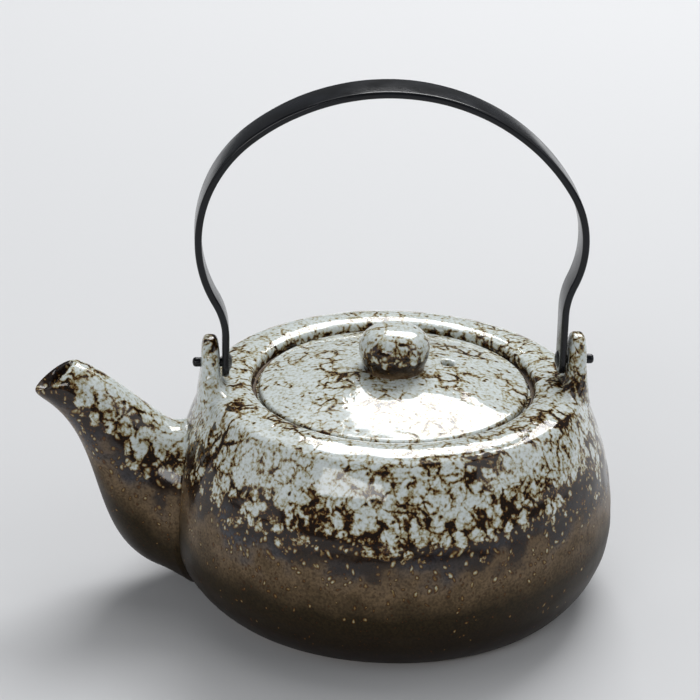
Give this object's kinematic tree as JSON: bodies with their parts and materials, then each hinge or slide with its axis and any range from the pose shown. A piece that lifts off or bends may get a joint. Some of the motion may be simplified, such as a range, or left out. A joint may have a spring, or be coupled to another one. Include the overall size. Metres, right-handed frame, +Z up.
{
  "type": "teapot",
  "caption": "Round stoneware teapot with a side spout, a loose domed lid with a knob, and an overhead steel bail that swings on pins in clay lugs, for brewing and pouring tea.",
  "frame": {"origin": "centre of the foot ring, on the pot's axis, at the surface that the pot stands on", "axes": "+Z up along the pot's axis, -X towards the spout, and the bail's hinge line along X"},
  "size_m": [0.1814, 0.14, 0.1651],
  "materials": {
    "brown_glaze": "glossy iron-brown stoneware glaze",
    "pale_glaze": "glossy pale blue-grey stoneware glaze with brown breaks",
    "black_steel": "satin black"
  },
  "bodies": {
    "pot": {"pot_body": "brown_glaze", "spout": "brown_glaze", "front_lug": "pale_glaze", "rear_lug": "pale_glaze"},
    "lid": {"lid": "pale_glaze", "lid_knob": "pale_glaze"},
    "bail": {"bail_handle": "black_steel", "front_pivot_pin": "black_steel", "rear_pivot_pin": "black_steel"}
  },
  "joints": [
    {"name": "lid_lift", "type": "slide", "parent": "pot", "child": "lid", "axis": [0, 0, 1], "range_m": [0, 0.04]},
    {"name": "bail_swing", "type": "hinge", "parent": "pot", "child": "bail", "pos_m": [0, 0, 0.0754], "axis": [1, 0, 0], "range_deg": [-85, 85]}
  ]
}
